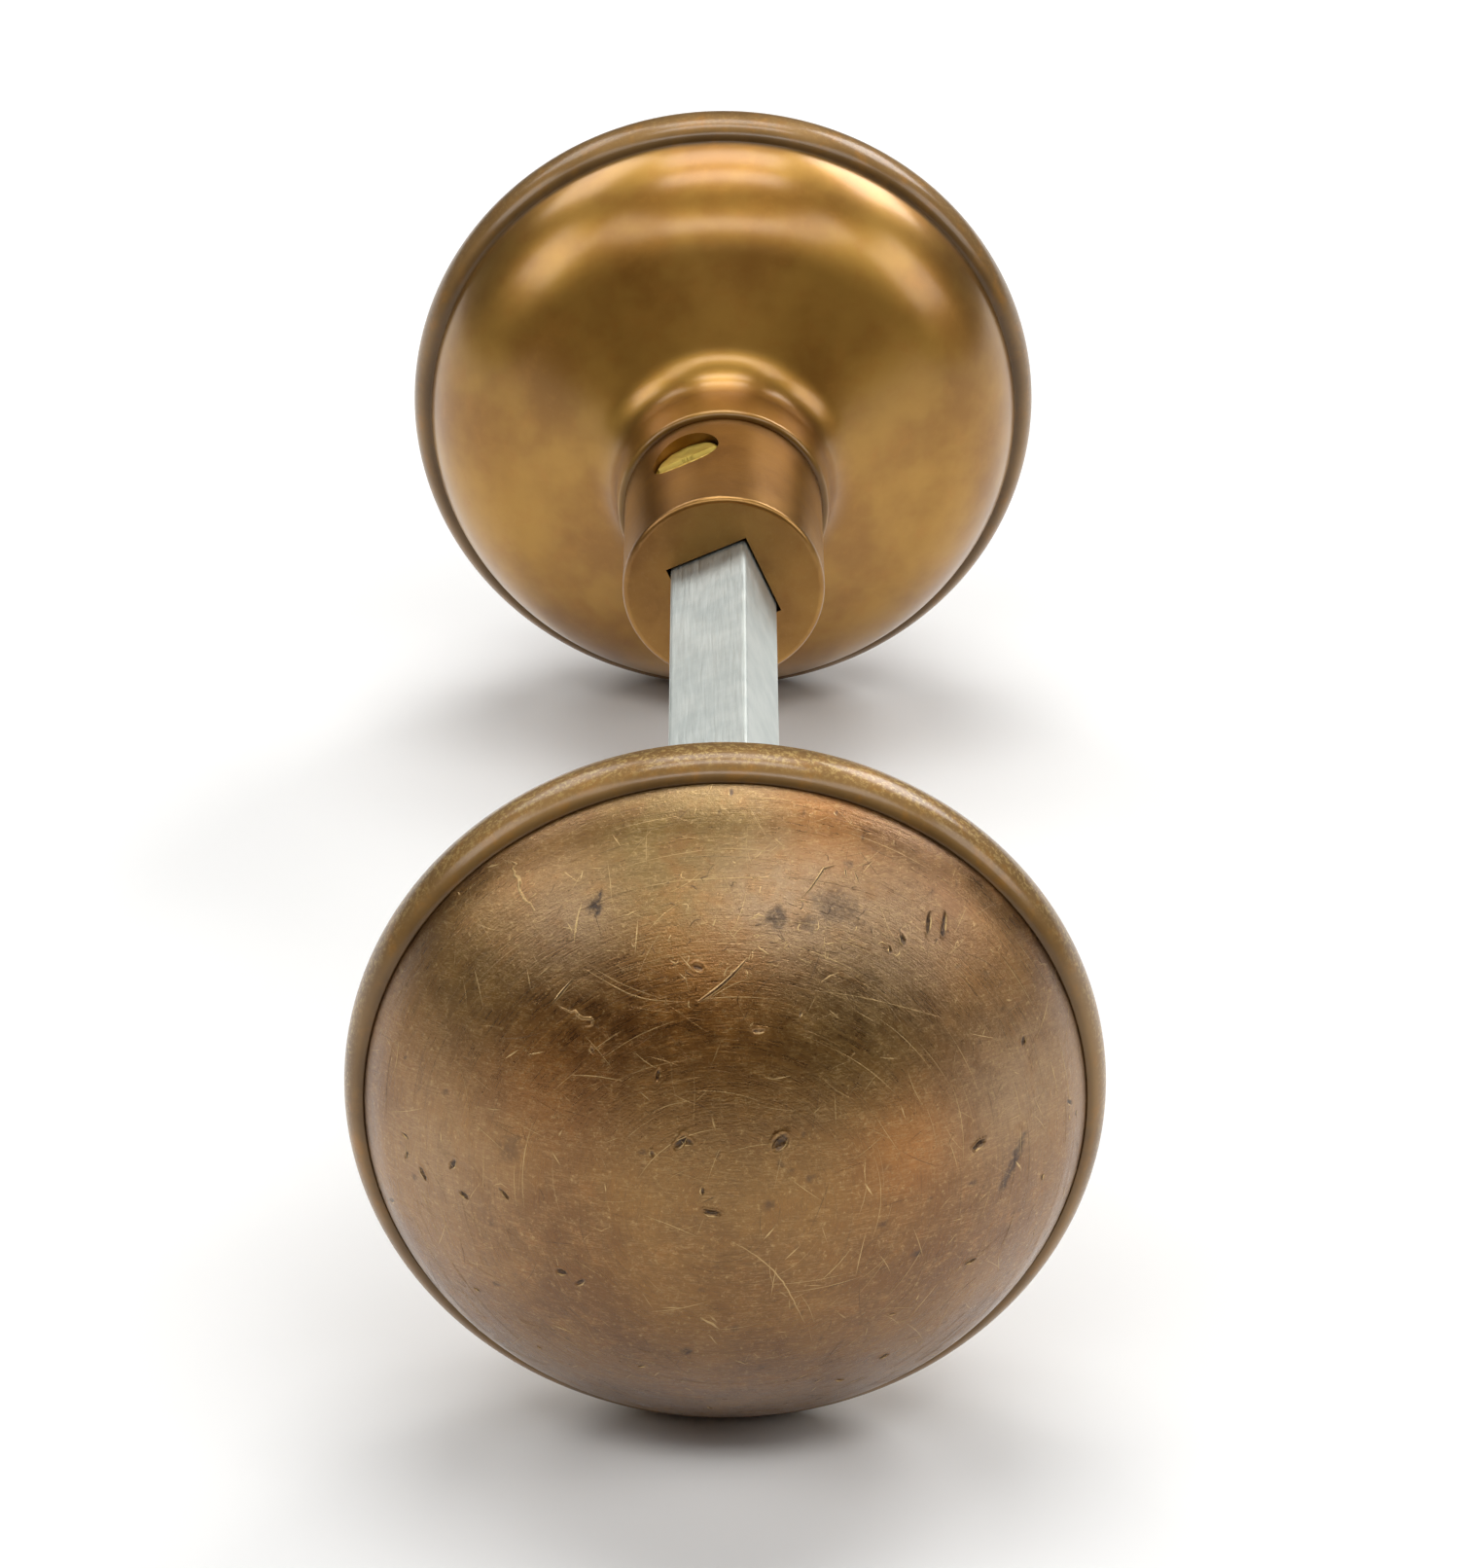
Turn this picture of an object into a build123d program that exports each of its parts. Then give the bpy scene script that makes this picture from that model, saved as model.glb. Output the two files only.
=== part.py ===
from build123d import *

import math
import os

# Pair of wrought brass door knobs on a plain square steel spindle. Millimetres.
# The spindle lies along Y with its middle at the origin, +Z up. The front knob is at -Y and the rear knob
# at +Y. A knob is drawn as a half section in the XY plane, radius along X, and turned about the Y axis.
# Depths along a knob are measured from its rim plane, the widest plane of the rim bead: positive towards
# the middle of the spindle, negative towards the top of the dome.

# Spindle
SPINDLE_WIDTH = 7.14  # 9/32 in square
SPINDLE_LENGTH = 101.6  # 4 in
SPINDLE_EDGE_ROUND = 0.4
SPINDLE_END_CHAMFER = 0.35
SPINDLE_TURN = 24.0  # degrees that the upper flat leans towards -X, about the spindle's own axis

# Knob
RIM_Y = 63.83  # rim plane's distance from the middle of the spindle
SHEET = 0.9  # brass sheet of both shells
DOME_RADIUS = 27.3  # the dome is a crown arc and a tighter shoulder arc that stands on the rim plane
DOME_HEIGHT = 18.4
DOME_SHOULDER_RADIUS = 10.2
BEAD_CENTRE_RADIUS = 26.875  # the rim bead is half an ellipse in section
BEAD_HALF_WIDTH = 2.65
BEAD_PROUD = 1.7
BEAD_SEAM_ANGLE = 86.0  # how far round its half ellipse the bead goes towards the dome
BEAD_BACK_ANGLE = 88.0  # and towards the bowl
FLANGE_RADIUS = 27.8  # edge of the face shell, trapped in the bead
TRAP_GAP = 0.02

# Bowl and neck of the back shell, as one arc, one cone, one fillet and a nearly straight neck
BOWL_ARC_RADIUS = 12.5
BOWL_ARC_CENTRE = (14.59, 0.53)  # radius, depth
BOWL_RIM_ANGLE = 80.0  # degrees between the surface's normal and the axis at the bead
CONE_ANGLE = 25.0  # the same angle on the cone
CONE_END_RADIUS = 12.3
NECK_FILLET_RADIUS = 4.7
NECK_LIP_DEPTH = 23.6
NECK_LIP_ROUND = 0.6
NECK_OUTER_RADIUS = 9.45
NECK_INNER_RADIUS = 8.55

# Shank
SHANK_RADIUS = 8.8
SHANK_END_DEPTH = 40.5
SHANK_END_ROUND = 0.5
SPIGOT_RADIUS = 8.5
SPIGOT_END_DEPTH = 6.0
SOCKET_WIDTH = 7.6
SOCKET_BOTTOM_DEPTH = 8.0
TENON_WIDTH = 7.0
HEAD_CROWN_RADIUS = 12.5
HEAD_HEIGHT = 1.3

# Core plate and rivet washer inside the bowl
PLATE_THICKNESS = 1.5
PLATE_RADIUS = 24.7
PLATE_RIM_HEIGHT = 3.0
WASHER_THICKNESS = 0.8
WASHER_RADIUS = 8.0
TENON_HOLE_WIDTH = 7.1

# Set screw, square to the spindle's upper flat
SCREW_DEPTH = 28.8
SCREW_HOLE_RADIUS = 3.175
SCREW_RADIUS = 3.1
SCREW_TIP_GAP = 0.02
SCREW_TOP_RADIUS = 8.15  # from the spindle's axis, so that a rose slides over the screw
SCREW_POINT_CHAMFER = 0.7
SCREW_SLOT_WIDTH = 1.0
SCREW_SLOT_DEPTH = 1.3

CUT = 1.0  # how far a cutting or joining shape runs past a face
UPRIGHT = (Align.CENTER, Align.CENTER, Align.MIN)  # a cylinder that stands on its own origin

PLATE_BACK_DEPTH = SPIGOT_END_DEPTH
PLATE_FRONT_DEPTH = PLATE_BACK_DEPTH - PLATE_THICKNESS
WASHER_FRONT_DEPTH = PLATE_FRONT_DEPTH - WASHER_THICKNESS


def at(radius, depth):
    """The point of the rear knob's half section at this radius and depth."""
    return (radius, RIM_Y - depth)


def on_circle(centre, radius, angle):
    """The section point on a circle, where angle is measured from the axis, towards the rim."""
    turn = math.radians(angle)
    return at(centre[0] + radius * math.sin(turn), centre[1] + radius * math.cos(turn))


def arc(centre, radius, first, last):
    """An arc of the section between two angles from the axis."""
    middle = (first + last) / 2
    return ThreePointArc(*(on_circle(centre, radius, angle) for angle in (first, middle, last)))


def turned(*curves):
    """The solid of revolution about the Y axis that these curves of a half section enclose."""
    section = make_face([edge for curve in curves for edge in curve.edges()])
    return revolve(section, Axis.Y, 360)


def square_bar(width, first_depth, last_depth):
    """A square bar along the rear knob's axis between two depths, turned about it as the spindle is."""
    middle = RIM_Y - (first_depth + last_depth) / 2
    bar = Box(width, abs(last_depth - first_depth), width)
    return Pos(0, middle, 0) * Rot(0, -SPINDLE_TURN, 0) * bar


def dome_curves(inset):
    """Shoulder arc and crown arc of the dome, from its edge to the axis, outside or inset by this much."""
    shoulder_centre = DOME_RADIUS - DOME_SHOULDER_RADIUS
    shoulder_rise = DOME_HEIGHT - DOME_SHOULDER_RADIUS
    crown_radius = (DOME_HEIGHT**2 - DOME_SHOULDER_RADIUS**2 + shoulder_centre**2) / (2 * shoulder_rise)
    join = 180 - math.degrees(math.asin(shoulder_centre / (crown_radius - DOME_SHOULDER_RADIUS)))
    edge = 90 + math.degrees(math.asin(SHEET / (DOME_SHOULDER_RADIUS - inset)))
    shoulder = arc((shoulder_centre, 0), DOME_SHOULDER_RADIUS - inset, edge, join)
    crown = arc((0, crown_radius - DOME_HEIGHT), crown_radius - inset, join, 180)
    return shoulder, crown


def face_shell():
    """Drawn dome with a narrow flange at its edge."""
    shoulder, crown = dome_curves(0)
    inner_shoulder, inner_crown = dome_curves(SHEET)
    inner_edge = inner_shoulder @ 0
    flange = Polyline(
        shoulder @ 0,
        at(FLANGE_RADIUS, -SHEET),
        at(FLANGE_RADIUS, 0),
        (inner_edge.X, RIM_Y),
        inner_edge,
    )
    middle = Line(inner_crown @ 1, crown @ 1)
    return turned(shoulder, crown, flange, inner_shoulder, inner_crown, middle)


def bowl_curves(inset):
    """Arc, cone and fillet of the bowl, from the bead to the neck, outside or one sheet inside."""
    cone_turn = math.radians(CONE_ANGLE)
    arc_end_radius = BOWL_ARC_CENTRE[0] + BOWL_ARC_RADIUS * math.sin(cone_turn)
    arc_end_depth = BOWL_ARC_CENTRE[1] + BOWL_ARC_RADIUS * math.cos(cone_turn)
    cone_end_depth = arc_end_depth + (arc_end_radius - CONE_END_RADIUS) * math.tan(cone_turn)
    fillet_centre = (
        CONE_END_RADIUS + NECK_FILLET_RADIUS * math.sin(cone_turn),
        cone_end_depth + NECK_FILLET_RADIUS * math.cos(cone_turn),
    )
    bowl = arc(BOWL_ARC_CENTRE, BOWL_ARC_RADIUS - inset, BOWL_RIM_ANGLE, CONE_ANGLE)
    fillet = arc(fillet_centre, NECK_FILLET_RADIUS + inset, 180 + CONE_ANGLE, 270)
    cone = Line(bowl @ 1, fillet @ 0)
    return bowl, cone, fillet


def bead_curve():
    """The bead's half ellipse, from the bowl round the rim to where it lies on the dome."""
    return EllipticalCenterArc(
        at(BEAD_CENTRE_RADIUS, 0),
        BEAD_PROUD,
        BEAD_HALF_WIDTH,
        -BEAD_BACK_ANGLE,
        arc_size=BEAD_BACK_ANGLE + BEAD_SEAM_ANGLE,
    )


def back_shell():
    """Drawn bowl and neck, its edge rolled over the flange of the face shell as the rim bead."""
    bowl, cone, fillet = bowl_curves(0)
    inner_bowl, inner_cone, inner_fillet = bowl_curves(SHEET)
    bead = bead_curve()
    groove = Line(bead @ 0, bowl @ 0)
    lip_start = at(NECK_OUTER_RADIUS, NECK_LIP_DEPTH - NECK_LIP_ROUND)
    lip_end = at(NECK_OUTER_RADIUS - NECK_LIP_ROUND, NECK_LIP_DEPTH)
    neck = Line(fillet @ 1, lip_start)
    lip = RadiusArc(lip_start, lip_end, NECK_LIP_ROUND)
    mouth = Polyline(
        lip_end,
        at(NECK_INNER_RADIUS, NECK_LIP_DEPTH),
        inner_fillet @ 1,
    )
    seam_gap = DOME_RADIUS + 2 * TRAP_GAP
    inner_start = inner_bowl @ 0
    pocket = Polyline(
        inner_start,
        (inner_start.X, RIM_Y - TRAP_GAP),
        at(FLANGE_RADIUS + TRAP_GAP, TRAP_GAP),
        at(FLANGE_RADIUS + TRAP_GAP, -SHEET - TRAP_GAP),
        at(seam_gap, -SHEET - TRAP_GAP),
        bead @ 1,
    )
    outside = (bead, groove, bowl, cone, fillet, neck, lip)
    inside = (mouth, inner_fillet, inner_cone, inner_bowl, pocket)
    return turned(*outside, *inside)


def screw_place():
    """Where a set screw stands: on the axis at its depth, with +Z square to the spindle's upper flat."""
    return Pos(0, RIM_Y - SCREW_DEPTH, 0) * Rot(0, -SPINDLE_TURN, 0)


def screw_hole():
    """Round hole from the axis out through one side of the shank."""
    bore = Cylinder(SCREW_HOLE_RADIUS, SHANK_RADIUS * 2, align=UPRIGHT)
    return screw_place() * bore


def shank():
    """Turned shank with a square socket, a spigot in the neck and a square tenon with a peened head."""
    round_start = at(SHANK_RADIUS, SHANK_END_DEPTH - SHANK_END_ROUND)
    round_end = at(SHANK_RADIUS - SHANK_END_ROUND, SHANK_END_DEPTH)
    side = Polyline(
        at(0, SPIGOT_END_DEPTH),
        at(SPIGOT_RADIUS, SPIGOT_END_DEPTH),
        at(SPIGOT_RADIUS, NECK_LIP_DEPTH),
        at(SHANK_RADIUS, NECK_LIP_DEPTH),
        round_start,
    )
    corner = RadiusArc(round_start, round_end, SHANK_END_ROUND)
    end = Polyline(round_end, at(0, SHANK_END_DEPTH), at(0, SPIGOT_END_DEPTH))
    body = turned(side, corner, end)
    tenon = square_bar(TENON_WIDTH, SPIGOT_END_DEPTH + CUT, WASHER_FRONT_DEPTH)
    socket = square_bar(SOCKET_WIDTH, SOCKET_BOTTOM_DEPTH, SHANK_END_DEPTH + CUT)
    return body + tenon + peened_head() - socket - screw_hole()


def peened_head():
    """The low dome that the end of the tenon is hammered into, over the washer."""
    centre_depth = WASHER_FRONT_DEPTH - HEAD_HEIGHT + HEAD_CROWN_RADIUS
    crown = at(0, WASHER_FRONT_DEPTH - HEAD_HEIGHT)
    edge_radius = math.sqrt(HEAD_CROWN_RADIUS**2 - (centre_depth - WASHER_FRONT_DEPTH) ** 2)
    edge = at(edge_radius, WASHER_FRONT_DEPTH)
    dome = RadiusArc(crown, edge, HEAD_CROWN_RADIUS)
    base = Polyline(edge, at(0, WASHER_FRONT_DEPTH), crown)
    return turned(dome, base)


def core_plate():
    """Stamped steel cup that bears on the inside of the bowl, with a square hole for the tenon."""
    rim_depth = PLATE_FRONT_DEPTH - PLATE_RIM_HEIGHT
    section = Polyline(
        at(0, PLATE_BACK_DEPTH),
        at(PLATE_RADIUS, PLATE_BACK_DEPTH),
        at(PLATE_RADIUS, rim_depth),
        at(PLATE_RADIUS - PLATE_THICKNESS, rim_depth),
        at(PLATE_RADIUS - PLATE_THICKNESS, PLATE_FRONT_DEPTH),
        at(0, PLATE_FRONT_DEPTH),
        close=True,
    )
    hole = square_bar(TENON_HOLE_WIDTH, PLATE_BACK_DEPTH + CUT, PLATE_FRONT_DEPTH - CUT)
    return turned(section) - hole


def rivet_washer():
    """Steel washer between the core plate and the peened head."""
    section = Polyline(
        at(0, PLATE_FRONT_DEPTH),
        at(WASHER_RADIUS, PLATE_FRONT_DEPTH),
        at(WASHER_RADIUS, WASHER_FRONT_DEPTH),
        at(0, WASHER_FRONT_DEPTH),
        close=True,
    )
    hole = square_bar(TENON_HOLE_WIDTH, PLATE_FRONT_DEPTH + CUT, WASHER_FRONT_DEPTH - CUT)
    return turned(section) - hole


def set_screw():
    """Headless slotted screw that bears on the spindle's upper flat."""
    tip = SPINDLE_WIDTH / 2 + SCREW_TIP_GAP
    length = SCREW_TOP_RADIUS - tip
    body = Cylinder(SCREW_RADIUS, length, align=UPRIGHT)
    body = chamfer(body.edges().sort_by(Axis.Z)[0], SCREW_POINT_CHAMFER)
    slot = Box(SCREW_RADIUS * 3, SCREW_SLOT_WIDTH, SCREW_SLOT_DEPTH * 2)
    return screw_place() * Pos(0, 0, tip) * (body - Pos(0, 0, length) * slot)


def spindle():
    """Plain square bar with rounded long edges and chamfered ends."""
    bar = Box(SPINDLE_WIDTH, SPINDLE_LENGTH, SPINDLE_WIDTH)
    bar = fillet(bar.edges().filter_by(Axis.Y), SPINDLE_EDGE_ROUND)
    ends = bar.faces().sort_by(Axis.Y)
    bar = chamfer(ends[0].edges() + ends[-1].edges(), SPINDLE_END_CHAMFER)
    return Rot(0, -SPINDLE_TURN, 0) * bar


KNOB_PIECES = {
    "face_shell": face_shell,
    "back_shell": back_shell,
    "shank": shank,
    "core_plate": core_plate,
    "rivet_washer": rivet_washer,
    "set_screw": set_screw,
}

os.makedirs("parts", exist_ok=True)
export_step(spindle(), "parts/spindle.step")
for name, make in KNOB_PIECES.items():
    rear = make()
    front = mirror(rear, Plane.XZ)
    export_step(rear, f"parts/rear_{name}.step")
    export_step(front, f"parts/front_{name}.step")
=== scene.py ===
import math

import bmesh
import bpy
import numpy as np
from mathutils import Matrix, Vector, noise


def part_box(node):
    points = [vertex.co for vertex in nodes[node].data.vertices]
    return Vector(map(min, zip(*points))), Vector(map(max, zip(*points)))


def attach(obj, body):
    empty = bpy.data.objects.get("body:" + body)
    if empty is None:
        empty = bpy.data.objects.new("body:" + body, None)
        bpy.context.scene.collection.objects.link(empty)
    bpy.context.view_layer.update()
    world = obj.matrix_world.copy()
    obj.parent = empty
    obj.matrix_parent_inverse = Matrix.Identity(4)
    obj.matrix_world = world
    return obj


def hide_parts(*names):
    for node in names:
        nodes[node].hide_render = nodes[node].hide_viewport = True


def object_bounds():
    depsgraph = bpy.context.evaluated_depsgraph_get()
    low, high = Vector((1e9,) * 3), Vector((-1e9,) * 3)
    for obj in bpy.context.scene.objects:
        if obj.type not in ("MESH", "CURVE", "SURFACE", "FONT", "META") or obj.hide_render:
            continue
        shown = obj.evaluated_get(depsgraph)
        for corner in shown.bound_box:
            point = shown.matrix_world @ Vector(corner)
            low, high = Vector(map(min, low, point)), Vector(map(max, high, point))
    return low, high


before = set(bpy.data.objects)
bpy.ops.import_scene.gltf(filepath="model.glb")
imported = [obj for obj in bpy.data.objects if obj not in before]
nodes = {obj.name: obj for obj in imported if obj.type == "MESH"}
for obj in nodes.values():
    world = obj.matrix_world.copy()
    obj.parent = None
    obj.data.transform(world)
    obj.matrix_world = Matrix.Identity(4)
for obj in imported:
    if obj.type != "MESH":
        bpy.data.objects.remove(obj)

cad_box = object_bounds()

# Everything is in metres in the CAD frame. Knob outlines are in millimetres, as (radius, depth), where
# depth is measured from the knob's rim plane, positive towards the middle of the spindle.
MM = 0.001
SIDES = {"front": -1, "rear": 1}

# ---------------------------------------------------------------- sizes, read from the frame
face_low, face_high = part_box("rear_face_shell")
back_low, back_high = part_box("rear_back_shell")
RIM_Y = face_low.y / MM
DOME_HEIGHT = (face_high.y - face_low.y) / MM
RIM_RADIUS = min(back_high.x, back_high.z) / MM
LIP_DEPTH = RIM_Y - back_low.y / MM
FLOOR_Z = cad_box[0].z

# Sizes that the frame's boxes don't show, as in the CAD
SHEET = 0.9
DOME_RADIUS = 27.3
DOME_SHOULDER = 10.2
BEAD_PROUD = 1.7
BEAD_HALF_WIDTH = 2.65
BEAD_CENTRE = RIM_RADIUS - BEAD_PROUD
BEAD_SEAM_ANGLE = 86
BEAD_BACK_ANGLE = 88
FLANGE_RADIUS = 27.8
TRAP_GAP = 0.02
BOWL_CENTRE = (14.59, 0.53)
BOWL_RADIUS = 12.5
BOWL_RIM_ANGLE = 80
CONE_ANGLE = 25
CONE_END_RADIUS = 12.3
NECK_FILLET = 4.7
NECK_OUTER = 9.45
NECK_INNER = 8.55
NECK_LIP_ROUND = 0.6

# How finely the shells are divided
DOME_STEPS = 200  # quads across the dome's grid
BOWL_SEGMENTS = 420  # quads round the bowl
BEAD_STEP = 0.14
BOWL_STEP = 0.3
INNER_STEP = 1.5

# Surface of the dome
LUMP_SIZE = 7
LUMP_HEIGHT = 0.025
LUMP_SINK = 0.06  # keeps lumps and scratches inside the CAD's dome
LUMP_FADE = (23.5, 25.5)  # radii between which the lumps and nicks fade out towards the bead
NICK_RAGGED = 0.1
SEAM_REACH = 0.2  # how far the dirt and painted shade in the seam between dome and bead spreads
SCRATCH_LIFT = 0.006  # height of a scratch's edges over the dome
SCRATCH_RISE = 0.15  # height of its middle, as a share of its width


# ---------------------------------------------------------------- mesh helpers
def make_object(name, points, faces, attributes=None):
    """A smooth mesh object from points in metres, with named per-point attributes."""
    mesh = bpy.data.meshes.new(name)
    mesh.from_pydata([tuple(p) for p in points], [], faces)
    for key, values in (attributes or {}).items():
        values = np.asarray(values, np.float32)
        kind = "FLOAT_VECTOR" if values.ndim == 2 else "FLOAT"
        layer = mesh.attributes.new(key, kind, "POINT")
        layer.data.foreach_set("vector" if values.ndim == 2 else "value", values.ravel())
    mesh.polygons.foreach_set("use_smooth", [True] * len(mesh.polygons))
    mesh.update()
    thing = bpy.data.objects.new(name, mesh)
    bpy.context.scene.collection.objects.link(thing)
    return thing


def arc_points(centre, radius, first, last, step):
    """Points on a circle of the outline, between two angles from the axis."""
    count = max(2, int(abs(math.radians(last - first)) * radius / step) + 1)
    turns = np.radians(np.linspace(first, last, count))
    return np.column_stack([centre[0] + radius * np.sin(turns), centre[1] + radius * np.cos(turns)])


def ellipse_points(centre, wide, high, first, last, step):
    """Points on an ellipse of the outline, between two angles from the rim plane, evenly spaced."""
    fine = np.radians(np.linspace(first, last, 2000))
    curve = np.column_stack([centre[0] + wide * np.cos(fine), centre[1] - high * np.sin(fine)])
    return even_points(curve, step)


def even_points(curve, step):
    """The same curve with points an even distance apart."""
    along = distance_along(curve)
    count = max(2, int(along[-1] / step) + 1)
    wanted = np.linspace(0, along[-1], count)
    return np.column_stack([np.interp(wanted, along, curve[:, 0]), np.interp(wanted, along, curve[:, 1])])


def distance_along(curve):
    """How far each point is along the curve."""
    steps = np.linalg.norm(np.diff(curve, axis=0), axis=1)
    return np.concatenate([[0.0], np.cumsum(steps)])


def to_frame(radius, depth, turn, side):
    """Points in metres of a knob, from radius and depth in millimetres and the angle round the axis."""
    along = side * (RIM_Y - depth) + 0 * turn
    return np.column_stack([radius * np.cos(turn), along, radius * np.sin(turn)]) * MM


def noise_at(points, size, seed, octaves=3):
    """Smooth noise from -1 to 1, with lumps of this size, at points in millimetres."""
    shift = Vector((seed * 17.3, seed * 5.9, seed * 11.1))
    return np.array([noise.fractal(Vector(p) / size + shift, 1.0, 2.0, octaves) for p in points])


# ---------------------------------------------------------------- knob outlines
def dome_outline(inset, step):
    """Crown arc and shoulder arc of the dome, from the axis to its edge, outside or one sheet inside."""
    centre = DOME_RADIUS - DOME_SHOULDER
    crown_radius = (DOME_HEIGHT**2 - DOME_SHOULDER**2 + centre**2) / (2 * (DOME_HEIGHT - DOME_SHOULDER))
    join = 180 - math.degrees(math.asin(centre / (crown_radius - DOME_SHOULDER)))
    edge = 90 + math.degrees(math.asin(SHEET / (DOME_SHOULDER - inset)))
    crown = arc_points((0, crown_radius - DOME_HEIGHT), crown_radius - inset, 180, join, step)
    shoulder = arc_points((centre, 0), DOME_SHOULDER - inset, join, edge, step)
    return even_points(np.vstack([crown, shoulder[1:]]), step)


def bowl_outline(inset, step):
    """Arc, cone and fillet of the bowl from the bead to the neck, outside or one sheet inside."""
    turn = math.radians(CONE_ANGLE)
    arc_end = (
        BOWL_CENTRE[0] + BOWL_RADIUS * math.sin(turn),
        BOWL_CENTRE[1] + BOWL_RADIUS * math.cos(turn),
    )
    cone_end_depth = arc_end[1] + (arc_end[0] - CONE_END_RADIUS) * math.tan(turn)
    fillet_centre = (
        CONE_END_RADIUS + NECK_FILLET * math.sin(turn),
        cone_end_depth + NECK_FILLET * math.cos(turn),
    )
    bowl = arc_points(BOWL_CENTRE, BOWL_RADIUS - inset, BOWL_RIM_ANGLE, CONE_ANGLE, step)
    fillet = arc_points(fillet_centre, NECK_FILLET + inset, 180 + CONE_ANGLE, 270, step)
    cone = even_points(np.array([bowl[-1], fillet[0]]), step)
    return np.vstack([bowl, cone[1:-1], fillet])


def back_outline():
    """The closed outline of the back shell, and how many of its first points are seen from outside."""
    angles = (BEAD_SEAM_ANGLE, -BEAD_BACK_ANGLE)
    bead = ellipse_points((BEAD_CENTRE, 0), BEAD_PROUD, BEAD_HALF_WIDTH, *angles, BEAD_STEP)
    bowl = bowl_outline(0, BOWL_STEP)
    groove = even_points(np.array([bead[-1], bowl[0]]), 0.1)[1:-1]
    lip_centre = (NECK_OUTER - NECK_LIP_ROUND, LIP_DEPTH - NECK_LIP_ROUND)
    lip = arc_points(lip_centre, NECK_LIP_ROUND, 90, 0, 0.08)
    neck = even_points(np.array([bowl[-1], lip[0]]), BOWL_STEP)[1:-1]
    inner = bowl_outline(SHEET, INNER_STEP)[::-1]
    edge = FLANGE_RADIUS + TRAP_GAP
    hidden = np.array(
        [
            (inner[-1][0], TRAP_GAP),
            (edge, TRAP_GAP),
            (edge, -SHEET - TRAP_GAP),
            (DOME_RADIUS + 2 * TRAP_GAP, -SHEET - TRAP_GAP),
        ]
    )
    mouth = np.array([(NECK_INNER, LIP_DEPTH)])
    seen = np.vstack([bead, groove, bowl, neck, lip])
    return np.vstack([seen, mouth, inner, hidden]), len(seen)


# ---------------------------------------------------------------- marks on the domes
# Places on a dome are (right, up) in millimetres along its surface from its top, seen from in front of it.
# Nicks: right, up, length, width, depth, turn of the length from the horizontal in degrees.
FRONT_NICKS = [
    (4, 5.5, 1.3, 0.8, 0.22, 50),
    (-3.3, 5.6, 1.3, 0.5, 0.14, 55),
    (19.8, 2.3, 1.2, 0.5, 0.20, 25),
    (-5, 10.6, 0.9, 0.3, 0.14, 80),
    (-1, 0, 1.3, 0.4, 0.14, -12),
    (16.6, 20.6, 1.5, 0.35, 0.16, 75),
    (18, 20.4, 1.7, 0.35, 0.16, 75),
    (2.5, 13.9, 1.0, 0.3, 0.10, 0),
    (19.6, -9, 1.0, 0.3, 0.10, 5),
    (-12.5, -7.2, 0.8, 0.5, 0.12, 0),
    (-21.7, 0, 1.1, 0.4, 0.12, 60),
    (-24.8, -2.3, 1.2, 0.4, 0.10, -60),
    (-20.7, -2.5, 0.9, 0.4, 0.10, -20),
]
# Dark stains: right, up, length, width, turn, strength.
FRONT_STAINS = [
    (-10.5, 22.5, 1.2, 1.0, 0, 1.0),
    (14.7, -6, 0.6, 0.5, 0, 1.0),
    (-3, -14.3, 0.8, 0.7, 0, 0.9),
    (-16.4, 3, 2.6, 1.7, 70, 0.4),
    (23.2, -0.6, 4.4, 0.9, 62, 0.8),
    (-3.6, 13.2, 0.4, 0.4, 0, 0.8),
    (-18.3, -11, 0.7, 0.5, 0, 0.8),
    (3.2, 0.6, 0.8, 0.5, 45, 0.5),
    (11.7, -2.3, 0.7, 0.5, 0, 0.5),
    (4, 22, 1.8, 1.3, -20, 0.75),
    (6.5, 21.6, 1.8, 1.0, 0, 0.5),
    (8.8, 22.7, 3.6, 2.8, -10, 0.5),
]
# Tints: right, up, reach, and how orange, olive and pale grey the patch is.
FRONT_TINTS = [
    (-2, 19.5, 6, 1.0, 0.0, 0.0),
    (14, 4, 4, 0.9, 0.0, 0.0),
    (-14, 10, 5, 0.7, 0.0, 0.0),
    (-6, 26, 8, 0.0, 0.9, 0.0),
    (-20, 17, 8, 0.0, 0.6, 0.0),
    (10, 14, 6, 0.0, 0.8, 0.0),
    # The pale grey patches lie in the highlight band and at the sides: wear, and painted sheen.
    (-12, 21, 4, 0.0, 0.0, 0.8),
    (4, 23.5, 5, 0.0, 0.0, 1.0),
    (12, 20, 6, 0.0, 0.0, 0.9),
    (24, 6, 7, 0.0, 0.0, 0.8),
    (-23, 0, 7, 0.0, 0.0, 0.6),
    (8, 29, 4, 1.0, 0.0, 0.0),
    # The olive patches at the top and in the middle: patina, and painted shade that dims the reflections
    # there.
    (0, 29, 7, 0.0, 0.7, 0.0),
    (0, 3, 10, 0.0, 0.4, 0.0),
]
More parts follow.
